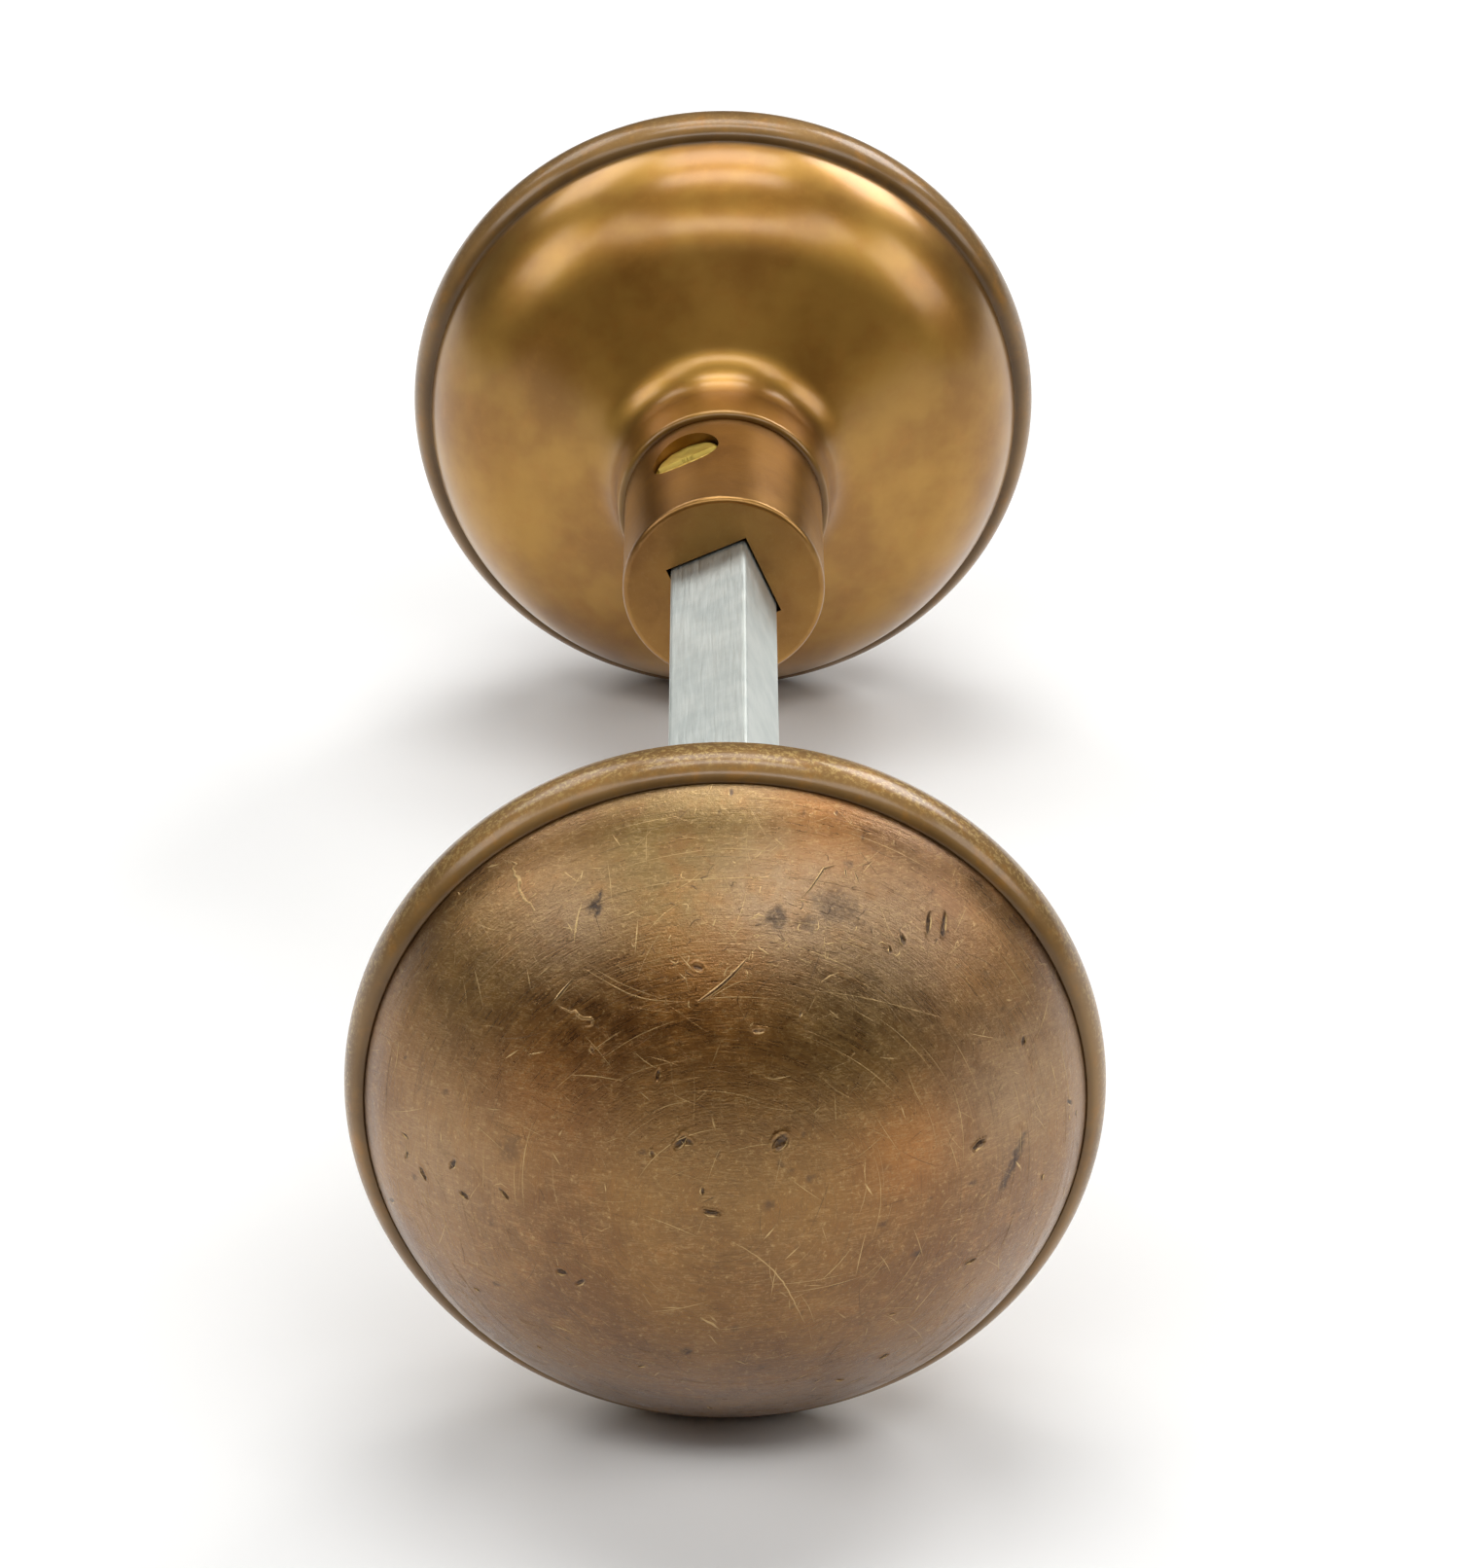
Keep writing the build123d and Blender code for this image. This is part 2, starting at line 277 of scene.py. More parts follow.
# Scratches: width, tone from -1, dark, to 1, pale, waviness, and the places that they run through.
FRONT_SCRATCHES = [
    (0.35, 0.7, 0.16, [(-18.4, 25.4), (-17.5, 24), (-17, 23), (-15.8, 22)]),
    (0.16, 0.8, 0.03, [(-11.6, 22.8), (-11.9, 21.3), (-12, 19.6)]),
    (0.12, 0.8, 0.0, [(-6.9, 21.8), (-7, 19.2)]),
    (0.09, 0.6, 0.0, [(-11.2, 18), (-9, 17), (-6.5, 16), (-3, 16)]),
    (0.07, 0.6, 0.0, [(-10.2, 18), (-8, 17), (-5, 16.2)]),
    (0.28, 0.4, 0.14, [(-12.7, 15), (-11.2, 14.4), (-9.5, 14), (-10.7, 13.6)]),
    (0.12, 0.8, 0.0, [(-4.3, 19), (-3.7, 18.6), (-3.6, 19.1)]),
    (0.14, 0.8, 0.0, [(7.3, 17.2), (8, 17.6), (8.8, 17.8)]),
    (0.06, 0.6, 0.0, [(6.3, 16.7), (10, 16), (13.8, 14.7), (17.8, 13)]),
    (0.06, 0.7, 0.0, [(-10, 23.4), (-5.7, 24.5), (-3, 25), (4, 25.2), (7.2, 24.6)]),
    (0.12, 0.9, 0.0, [(2, 22), (2.6, 22.5), (3.2, 22)]),
    (0.12, 0.9, 0.0, [(12, 19.5), (12.4, 19.8), (12.8, 19.4)]),
    (0.12, 0.9, 0.0, [(13.2, 18.8), (13.6, 18.4), (13.9, 18.9)]),
    (0.11, 0.8, 0.02, [(0.4, -2.4), (2, -3.5), (3.4, -5), (4.5, -6.8), (6, -11.2)]),
    (0.06, 0.7, 0.0, [(2.8, -6.6), (6, -6.7), (9.9, -6.3)]),
    (0.07, 0.7, 0.0, [(3.3, -7.6), (7.2, -7.5), (11.3, -6.8)]),
    (0.22, 0.8, 0.03, [(-1.9, -10), (-1.2, -10.6), (-0.5, -11.3)]),
    (0.18, 0.7, 0.03, [(-1.2, -9.8), (-0.6, -10.5)]),
    (0.10, 0.8, 0.03, [(-1.3, -12), (-1, -12.4), (-0.6, -13.3)]),
    (0.12, 0.8, 0.0, [(-4.8, -9.2), (-3.1, -9)]),
    (0.14, 0.7, 0.0, [(-5.7, -18.7), (-5.2, -17.8)]),
    (0.10, 0.7, 0.03, [(-18, -0.6), (-17.2, 0), (-16.6, -0.5)]),
    (0.10, 0.7, 0.0, [(-10.3, -2), (-9, -2.5), (-8.3, -1.7)]),
    (0.09, -0.8, 0.0, [(7.5, 19.7), (7, 18.4), (6.2, 16.9)]),
    (0.09, -0.7, 0.0, [(8, -10.8), (8.1, -11.6), (7.8, -12.5)]),
    (0.08, -0.8, 0.0, [(-1.8, 0.8), (-0.6, 1.5)]),
]
# Cuts, with a dark middle and pale edges: width and the places that they run through.
FRONT_CUTS = [
    (0.38, [(-2.1, 16), (-0.7, 16.9), (0.7, 18.1), (1.7, 19.2)]),
    (0.32, [(-11.7, 17.2), (-12.5, 16.2), (-13.4, 15)]),
    (0.26, [(9, 25.8), (7.8, 25.6), (7.4, 24.6), (6.1, 23.5)]),
    (0.20, [(9.8, 25.6), (9.9, 24.8)]),
    (0.20, [(10.6, 25.2), (10.9, 24.4)]),
]


def flat_noise(flat, size, seed):
    """Smooth noise from -1 to 1 at points of the unrolled dome."""
    return noise_at(np.column_stack([flat, 0 * flat[:, 0]]), size, seed)


def pushed(flat, nicks):
    """How far in each point of the unrolled dome is pushed by these nicks, with a burr above each."""
    push = np.zeros(len(flat))
    shaken = flat + NICK_RAGGED * np.column_stack([flat_noise(flat, 0.5, seed) for seed in (2, 6)])
    for right, up, length, width, depth, turn in nicks:
        reach = inside_ellipse(shaken, right, up, length, width, turn)
        burr = inside_ellipse(shaken, right, up + 0.2 * width, 1.1 * length, 1.3 * width, turn)
        push += depth * (np.exp(-(reach**2)) - 0.3 * np.exp(-((burr - 1.3) ** 2) * 4) * (reach > 1))
    return push


def inside_ellipse(flat, right, up, length, width, turn):
    """0 in the middle of an ellipse, 1 on its edge and more outside, for points of the unrolled dome."""
    angle = math.radians(turn)
    x = flat[:, 0] - right
    y = flat[:, 1] - up
    along = (x * math.cos(angle) + y * math.sin(angle)) / (length / 2)
    across = (y * math.cos(angle) - x * math.sin(angle)) / (width / 2)
    return along**2 + across**2


def stained_and_shaded(flat, stains_and_shade, seed):
    """How dark each point of the unrolled dome is from its stains and from the painted shade inside its
    nicks, with ragged edges.
    """
    ragged = 0.9 * flat_noise(flat, 0.8, seed)
    dark = np.zeros(len(flat))
    for right, up, length, width, turn, strength in stains_and_shade:
        reach = inside_ellipse(flat, right, up, length, width, turn)
        dark = np.maximum(dark, strength * np.clip(1.5 - reach * (1 + ragged), 0, 1))
    return dark


def tinted(flat, tints):
    """How orange, olive and grey each point of the unrolled dome is."""
    colour = np.zeros((len(flat), 3))
    for right, up, reach, *shares in tints:
        here = np.exp(-((flat[:, 0] - right) ** 2 + (flat[:, 1] - up) ** 2) / reach**2)
        colour += here[:, None] * np.array(shares)
    return np.clip(colour, 0, 1)


# How many small marks are scattered over a dome
SMALL_NICKS = 30
DARK_SPOTS = 90
SCRIBBLES = 70
SHORT_SCRATCHES = 90
POLISHING_ARCS = 220
FINE_SCRATCHES = 520
EDGE_MARGIN = 1.0  # millimetres between the marks and the dome's edge


def scattered(rng, count, smallest, largest):
    """Seeded places and sizes all over a dome, as (right, up, size) rows."""
    run = (DOME_RUN[-1] - EDGE_MARGIN) * np.sqrt(rng.uniform(0.0, 1.0, count))
    turn = rng.uniform(0, 2 * math.pi, count)
    size = rng.uniform(smallest, largest, count)
    return np.column_stack([run * np.cos(turn), run * np.sin(turn), size])


def add_small_nicks(rng, nicks):
    """Adds shallow seeded nicks to the list."""
    for right, up, size in scattered(rng, SMALL_NICKS, 0.4, 1.0):
        width = size * rng.uniform(0.3, 0.6)
        nicks.append((right, up, size, width, 0.06 + 0.04 * size, rng.uniform(0, 180)))


def add_rear_marks(rng, nicks, tints, cuts):
    """Adds the seeded nicks, tinted patches and cuts of the rear dome to the lists."""
    for right, up, size in scattered(rng, 12, 4.0, 8.0):
        shares = rng.permutation([0.8, 0.0, 0.0])
        tints.append((right, up, size, *shares))
    for right, up, size in scattered(rng, 14, 1.0, 1.6):
        nicks.append((right, up, size, size * 0.4, 0.16, rng.uniform(0, 180)))
    for right, up, size in scattered(rng, 5, 1.5, 3.0):
        cuts.append((0.25, [(right, up), (right + size, up + 0.4 * size)]))


def add_scribbles(rng, lines):
    """Adds a cloud of tiny crooked scratches near the top of the front dome to the list."""
    for _ in range(SCRIBBLES):
        start = rng.normal((3.0, 21.0), (6.0, 2.4))
        steps = np.cumsum(rng.normal(0, 0.3, (4, 2)), axis=0)
        width = rng.uniform(0.06, 0.12)
        tone = rng.choice([-0.8, 0.9])
        lines.append((width, tone, 0.0, [tuple(start + step) for step in steps]))


def add_short_scratches(rng, lines):
    """Adds short straight pale scratches to the list."""
    for right, up, size in scattered(rng, SHORT_SCRATCHES, 0.4, 1.8):
        turn = rng.uniform(0, math.pi)
        end = (right + size * math.cos(turn), up + size * math.sin(turn))
        width = rng.uniform(0.07, 0.14)
        lines.append((width, rng.uniform(0.4, 1.0), 0.0, [(right, up), end]))


def add_polishing_arcs(rng, lines):
    """Adds hair-thin arcs round the dome's top to the list."""
    for right, up, size in scattered(rng, POLISHING_ARCS, 2.0, 9.0):
        width = rng.uniform(0.04, 0.07)
        tone = rng.uniform(-0.6, 0.8)
        lines.append((width, tone, 0.0, ring_arc(rng, right, up, size)))


def add_fine_scratches(rng, lines):
    """Adds thin, slightly bent scratches in every direction to the list."""
    for right, up, size in scattered(rng, FINE_SCRATCHES, 0.8, 4.5):
        turn = rng.uniform(0, math.pi)
        step = 0.5 * size * np.array([math.cos(turn), math.sin(turn)])
        bend = rng.uniform(-0.15, 0.15) * np.array([-step[1], step[0]])
        middle = np.array([right, up])
        path = [tuple(middle - step), tuple(middle + bend), tuple(middle + step)]
        width = rng.uniform(0.04, 0.08)
        lines.append((width, rng.uniform(-0.7, 0.9), 0.0, path))


def dome_marks(which):
    """The nicks, stains, tints and scratches of one dome, with painted shade inside each nick and a
    painted highlight on its lower edge. Only the front dome has placed ones.
    """
    front = which == "front"
    rng = np.random.default_rng(7 if front else 8)
    nicks = list(FRONT_NICKS) if front else []
    stains_and_shade = list(FRONT_STAINS) if front else []
    tints = list(FRONT_TINTS) if front else []
    lines = list(FRONT_SCRATCHES) if front else []
    cuts = list(FRONT_CUTS) if front else []
    add_small_nicks(rng, nicks)
    if not front:
        add_rear_marks(rng, nicks, tints, cuts)
    # Each nick gets painted shade inside it and, on its lower edge, a pale raised ribbon as a painted
    # highlight.
    for right, up, length, width, depth, turn in nicks:
        stains_and_shade.append((right, up, 0.9 * length, 0.9 * width, turn, 0.9))
        lines.append((0.12, 1.0, 0.02, lower_edge(right, up, length, width, turn)))
    for right, up, size in scattered(rng, DARK_SPOTS, 0.15, 0.6):
        stains_and_shade.append((right, up, size, size * 0.8, rng.uniform(0, 180), rng.uniform(0.3, 0.8)))
    for width, path in cuts:
        lines.append((width, 0.9, 0.0, path))
        lines.append((-0.45 * width, -1.0, 0.0, path))
    if front:
        add_scribbles(rng, lines)
    add_short_scratches(rng, lines)
    add_polishing_arcs(rng, lines)
    add_fine_scratches(rng, lines)
    return nicks, stains_and_shade, tints, lines


def lower_edge(right, up, length, width, turn):
    """The lower edge of a nick, the side that faces the light, where a raised ribbon is painted pale as a
    highlight.
    """
    angle = math.radians(turn)
    along = np.array([math.cos(angle), math.sin(angle)])
    across = np.array([-along[1], along[0]]) * (-1 if along[0] > 0 else 1)
    middle = np.array([right, up])
    ends = [middle + share * length * along + 0.3 * width * across for share in (-0.45, 0.45)]
    return [tuple(ends[0]), tuple(middle + 0.75 * width * across), tuple(ends[1])]


def ring_arc(rng, right, up, length):
    """An arc from polishing in the lathe: part of a circle round the dome's top, a little off it."""
    shift = rng.normal(0, 1.2, 2)
    radius = math.hypot(right, up)
    start = math.atan2(up, right)
    turns = start + np.linspace(0, length / max(radius, 3), 6)
    return [(shift[0] + radius * math.cos(t), shift[1] + radius * math.sin(t)) for t in turns]


def smooth_path(places, step, waviness, rng):
    """Points every step along a rounded line through these places, shaken sideways by the waviness."""
    places = np.array(places, float)
    if len(places) > 2:
        for _ in range(3):
            cut = 0.75 * places[:-1] + 0.25 * places[1:]
            rest = 0.25 * places[:-1] + 0.75 * places[1:]
            middle = np.stack([cut, rest], axis=1).reshape(-1, 2)
            places = np.vstack([places[:1], middle, places[-1:]])
    path = even_points(places, step)
    if len(path) < 3:
        path = even_points(places, np.linalg.norm(places[-1] - places[0]) / 3.5)
    return path + waviness * rng.normal(0, 1, path.shape)


def scratch_ribbons(lines, seed):
    """Scratches as ribbons with a raised middle: places, lifts and tones of their points, and their quads.

    A ribbon with a negative width lies on the one before it, as the dark middle of a cut.
    """
    rng = np.random.default_rng(seed)
    places, lifts, tones, faces = [], [], [], []
    start = 0
    for width, tone, waviness, line in lines:
        path = smooth_path(line, 0.35 if waviness else 0.8, waviness, rng)
        if np.max(np.linalg.norm(path, axis=1)) > DOME_RUN[-1] - 0.8 * EDGE_MARGIN:
            continue
        count = len(path)
        along = np.gradient(path, axis=0)
        across = np.column_stack([-along[:, 1], along[:, 0]])
        across /= np.linalg.norm(across, axis=1)[:, None] + 1e-9
        taper = np.sqrt(np.sin(np.linspace(0.12, math.pi - 0.12, count)))
        half = 0.5 * abs(width) * taper * rng.uniform(0.7, 1.2, count)
        low = SCRATCH_LIFT if width > 0 else SCRATCH_LIFT - 0.4 * width
        for shift, lift in ((1, low), (0, low + SCRATCH_RISE * abs(width)), (-1, low)):
            places.append(path + shift * across * half[:, None])
            lifts.append(np.full(count, lift))
            tones.append(tone * taper)
        for i in range(count - 1):
            for row in (0, count):
                a = start + row + i
                faces.append((a, a + count, a + count + 1, a + 1))
        start += 3 * count
    return np.vstack(places), np.concatenate(lifts), np.concatenate(tones), faces


# ---------------------------------------------------------------- knob shells
DOME_LINE = dome_outline(0, 0.02)
DOME_RUN = distance_along(DOME_LINE)
DOME_LEAN = np.arctan2(np.gradient(DOME_LINE[:, 1]), np.gradient(DOME_LINE[:, 0]))


def disc_grid(steps):
    """Radius from 0 to 1, angle and quads of a square grid squeezed so that its squares become circles."""
    line = np.linspace(-1, 1, steps + 1)
    u, v = np.meshgrid(line, line)
    u = u.ravel()
    v = v.ravel()
    wide = abs(u) >= abs(v)
    big = np.where(wide, u, v)
    small = np.where(wide, v, u)
    safe = np.where(big == 0, 1, big)
    turn = np.where(wide, math.pi / 4 * small / safe, math.pi / 2 - math.pi / 4 * small / safe)
    turn = np.where(big < 0, turn + math.pi, turn)
    row = steps + 1
    quads = [
        (j * row + i, j * row + i + 1, (j + 1) * row + i + 1, (j + 1) * row + i)
        for j in range(steps)
        for i in range(steps)
    ]
    return abs(big), turn, quads


def square_rim(steps):
    """Indices of a square grid's outline, anticlockwise from its lower left corner."""
    row = steps + 1
    low = [i for i in range(steps)]
    right = [j * row + steps for j in range(steps)]
    high = [steps * row + i for i in range(steps, 0, -1)]
    left = [j * row for j in range(steps, 0, -1)]
    return low + right + high + left


def unrolled_grid(steps, nicks):
    """The unrolled dome as places and faces: an even grid, four times finer round each nick."""
    reach, turn, quads = disc_grid(steps)
    run = reach * DOME_RUN[-1]
    flat = np.column_stack([run * np.cos(turn), run * np.sin(turn)])
    middles = flat[np.array(quads)].mean(axis=1)
    fine = np.zeros(len(quads), bool)
    for right, up, length, width, depth, angle in nicks:
        if math.hypot(right, up) < 0.9 * DOME_RUN[-1]:
            fine |= np.hypot(middles[:, 0] - right, middles[:, 1] - up) < 0.75 * length + 0.25
    grid = bmesh.new()
    corners = [grid.verts.new((x, y, 0)) for x, y in flat]
    near = []
    for quad, is_fine in zip(quads, fine):
        face = grid.faces.new([corners[i] for i in quad])
        if is_fine:
            near.append(face)
    edges = list({edge for face in near for edge in face.edges})
    bmesh.ops.subdivide_edges(grid, edges=edges, cuts=3, use_grid_fill=True)
    grid.verts.index_update()
    places = np.array([vert.co[:2] for vert in grid.verts])
    faces = [tuple(vert.index for vert in face.verts) for face in grid.faces]
    grid.free()
    return places, faces


def on_dome(flat, side, nicks, lift=0.0):
    """Points in metres of a knob's dome at places of its unrolled face, with its lumps and nicks."""
    run = np.hypot(flat[:, 0], flat[:, 1])
    turn = np.arctan2(flat[:, 1], flat[:, 0])
    radius = np.interp(run, DOME_RUN, DOME_LINE[:, 0])
    depth = np.interp(run, DOME_RUN, DOME_LINE[:, 1])
    points = to_frame(radius, depth, turn, side)
    lean = np.interp(run, DOME_RUN, DOME_LEAN)
    sine = np.sin(lean)
    normal = np.column_stack([sine * np.cos(turn), side * np.cos(lean), sine * np.sin(turn)])
    fade = np.clip((LUMP_FADE[1] - radius) / (LUMP_FADE[1] - LUMP_FADE[0]), 0, 1)
    lumps = LUMP_HEIGHT * noise_at(points / MM, LUMP_SIZE, 3 + side) - LUMP_SINK
    return points + normal * ((lumps - pushed(flat, nicks)) * fade + lift)[:, None] * MM


def facing(faces, side):
    """Faces made for the front knob, turned over when they are for the rear one."""
    return faces if side < 0 else [face[::-1] for face in faces]


def dome_inside(rim, rim_turn, side, start):
    """Points and faces of the flange and the plain inside, from the outside's rim to the axis."""
    inner = dome_outline(SHEET, 2 * INNER_STEP)[:0:-1]
    rings = [(FLANGE_RADIUS, -SHEET), (FLANGE_RADIUS, 0), (inner[0][0], 0), *inner]
    points = []
    faces = []
    last = rim
    for ring_radius, ring_depth in rings:
        points.append(to_frame(np.full(len(rim), ring_radius), ring_depth, rim_turn, side))
        here = list(range(start, start + len(rim)))
        faces += bridge(last, here, side < 0)
        last = here
        start += len(rim)
    points.append(np.array([[0, side * (RIM_Y + DOME_HEIGHT - SHEET) * MM, 0]]))
    closing = [(last[i], last[(i + 1) % len(last)], start) for i in range(len(last))]
    return np.vstack(points), faces + facing(closing, side)


def face_shell(which):
    """The dome: outside with its marks, the flange in the bead, the plain inside, and the scratches."""
    side = SIDES[which]
    nicks, stains_and_shade, tints, lines = dome_marks(which)
    flat, faces = unrolled_grid(DOME_STEPS, nicks)
    outside = on_dome(flat, side, nicks)
    rim = square_rim(DOME_STEPS)
    rim_turn = np.arctan2(flat[rim, 1], flat[rim, 0])
    inside, inside_faces = dome_inside(rim, rim_turn, side, len(flat))
    places, lifts, tones, ribbons = scratch_ribbons(lines, 5 + side)
    start = len(flat) + len(inside)
    ribbons = [tuple(start + i for i in face) for face in ribbons]
    faces = facing(faces, side) + inside_faces + facing(ribbons, side)
    points = np.vstack([outside, inside, on_dome(places, side, nicks, lifts)])
    flat = np.vstack([flat, np.zeros((len(inside), 2)), places])
    attributes = {
        "flat": np.column_stack([flat, np.zeros(len(flat))]),
        # The seam against the bead is darkened with dirt and painted shade.
        "dirt_and_shade": 0.45 * dirt_and_shade_by_depth(points, side, -BEAD_HALF_WIDTH, SEAM_REACH),
        "stain_and_shade": stained_and_shaded(flat, stains_and_shade, 4),
        "tint": tinted(flat, tints),
        "mark": np.concatenate([np.zeros(start), tones]),
    }
    return make_object(f"{which}_dome", points, faces, attributes)


def row_of(number, width):
    """Indices of one row of a grid of points that is this wide."""
    return list(range(number * width, (number + 1) * width))


def bridge(ring_a, ring_b, flip):
    """Quads between two rings of as many points."""
    count = len(ring_a)
    quads = []
    for i in range(count):
        j = (i + 1) % count
        quad = (ring_a[i], ring_a[j], ring_b[j], ring_b[i])
        quads.append(quad if flip else quad[::-1])
    return quads


def dirt_and_shade_by_depth(points, side, depth, reach):
    """1 at this depth of a knob, falling off to 0 within this reach, both in millimetres: where a crease
    is darkened with dirt and painted shade.
    """
    here = RIM_Y - side * points[:, 1] / MM
    return np.exp(-(((here - depth) / reach) ** 2))


def back_shell(which):
    """Bowl, neck and rim bead, turned from their outline."""
    side = SIDES[which]
    outline, seen = back_outline()
    count = len(outline)
    turn = np.tile(np.linspace(0, 2 * math.pi, BOWL_SEGMENTS, endpoint=False), count)
    radius = np.repeat(outline[:, 0], BOWL_SEGMENTS)
    depth = np.repeat(outline[:, 1], BOWL_SEGMENTS)
    points = to_frame(radius, depth, turn, side)
    faces = []
    for i in range(count):
        faces += bridge(row_of(i, BOWL_SEGMENTS), row_of((i + 1) % count, BOWL_SEGMENTS), side < 0)
    run = np.concatenate([distance_along(outline[:seen]), np.zeros(count - seen)])
    run = np.repeat(run, BOWL_SEGMENTS)
    flat = np.column_stack([run * np.cos(turn), run * np.sin(turn), np.zeros(len(run))])
    # The seam, the groove behind the bead and the neck's lip are darkened with dirt and painted shade.
    seam = dirt_and_shade_by_depth(points, side, -BEAD_HALF_WIDTH, SEAM_REACH)
    groove = dirt_and_shade_by_depth(points, side, BEAD_HALF_WIDTH + 0.1, 0.45)
    lip = dirt_and_shade_by_depth(points, side, LIP_DEPTH, 0.35)
    dirt_and_shade = np.clip(0.4 * seam + 0.6 * groove + 0.7 * lip, 0, 1)
    wear = np.exp(-(((radius - RIM_RADIUS) / 0.45) ** 2)) * (0.8 if which == "front" else 0.2)
    on_bead = np.clip((BEAD_HALF_WIDTH + 0.4 - depth) / 0.4, 0, 1)
    attributes = {"flat": flat, "dirt_and_shade": dirt_and_shade, "wear": wear, "bead": on_bead}
    return make_object(f"{which}_bowl", points, faces, attributes)


# ---------------------------------------------------------------- set screws
SCREW_LEAN = 24  # degrees from upright, towards -X, square to the spindle's upper flat
SCREW_CLEARANCE = 0.1  # between the thread's crests and the CAD's cylinder
SCREW_PITCH = 0.9
SCREW_THREAD_DEPTH = 0.4
SCREW_POINT = 0.7  # chamfer of the blunt point
SCREW_SLOT_WIDTH = 1.0
SCREW_SLOT_DEPTH = 1.3
SCREW_END_GAP = 0.06  # the end lies this much under the CAD's end, for its burrs
SCREW_END_ROUND = 0.22
SCREW_SIDE_TOP = 0.25  # the side stops this much under the CAD's end
SCREW_BURR = 0.04
SCREW_TURNS = 96  # points round the side
SCREW_ROWS = 60


def screw_side(radius, length):
    """Points of a screw's side, row by row from its point: a chamfer, then a thread that runs out."""
    heights = np.linspace(0, length - SCREW_SIDE_TOP, SCREW_ROWS)
    angles = np.linspace(0, 2 * math.pi, SCREW_TURNS, endpoint=False)
    height, angle = np.meshgrid(heights, angles, indexing="ij")
    wave = abs(((height / SCREW_PITCH + angle / (2 * math.pi)) % 1) - 0.5) * 2
    runout = np.clip((length - SCREW_SIDE_TOP - height) / 0.5, 0, 1) * np.clip(height / 0.8, 0, 1)
    chamfer = SCREW_POINT * np.clip(1 - height / SCREW_POINT, 0, 1)
    reach = radius - SCREW_THREAD_DEPTH * wave * runout - chamfer
    x = (reach * np.cos(angle)).ravel()
    y = (reach * np.sin(angle)).ravel()
    return np.column_stack([x, y, height.ravel()])


def screw_end(radius, length):
    """Points and quads of a screw's burred end, with its slot along X."""
    share, turn, quads = disc_grid(SCREW_TURNS)
    x = share * radius * np.cos(turn)
    y = share * radius * np.sin(turn)
    rounding = SCREW_END_ROUND * np.clip((share - 0.9) / 0.1, 0, 1) ** 2
    burr = SCREW_BURR * noise_at(np.column_stack([x, y, 0 * x]), 1.2, 3, 2)
    z = length - SCREW_END_GAP - rounding + np.clip(burr, -0.05, 0.05)
    z = np.where(abs(y) < SCREW_SLOT_WIDTH / 2, length - SCREW_SLOT_DEPTH, z)
    return np.column_stack([x, y, z]), quads


def set_screw(which):
    """A set screw in its place: blunt point, thread, and an end with a burred slot."""
    low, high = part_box(f"{which}_set_screw")
    lean = math.radians(SCREW_LEAN)
    axis = np.array([-math.sin(lean), 0, math.cos(lean)])
    middle = np.array((low + high) / 2) / MM
    radius = (high.y - low.y) / 2 / MM
    length = ((high.x - low.x) / MM - 2 * radius * math.cos(lean)) / math.sin(lean)
    side_points = screw_side(radius - SCREW_CLEARANCE, length)
    end_points, quads = screw_end(radius - SCREW_CLEARANCE, length)
    faces = []
    for i in range(SCREW_ROWS - 1):
        faces += bridge(row_of(i, SCREW_TURNS), row_of(i + 1, SCREW_TURNS), True)
    tip = len(side_points) + len(end_points)
    faces += [(i, (i + 1) % SCREW_TURNS, tip)[::-1] for i in range(SCREW_TURNS)]
    faces += [tuple(len(side_points) + i for i in quad) for quad in quads]
    local = np.vstack([side_points, end_points, [[0, 0, 0]]])
    towards_x = np.array([axis[2], 0, -axis[0]])
    base = middle - axis * length / 2
    points = base + local[:, :1] * towards_x + local[:, 1:2] * np.array([0, 1, 0]) + local[:, 2:] * axis
    near_middle = -SIDES[which] * local[:, 1]
    polished = np.clip((near_middle - 0.4) / 0.3, 0, 1) * (local[:, 2] > length - 0.5)
    # The end is a little darker except on its polished half, and the thread down in the hole is darkened
    # as painted shade.
    dirt_and_shade = np.clip(1 - polished, 0, 1) * 0.35
    dirt_and_shade[local[:, 2] < length - 0.4] = 0.9
    return make_object(f"{which}_screw", points * MM, faces, {"dirt_and_shade": dirt_and_shade, "wear": polished})


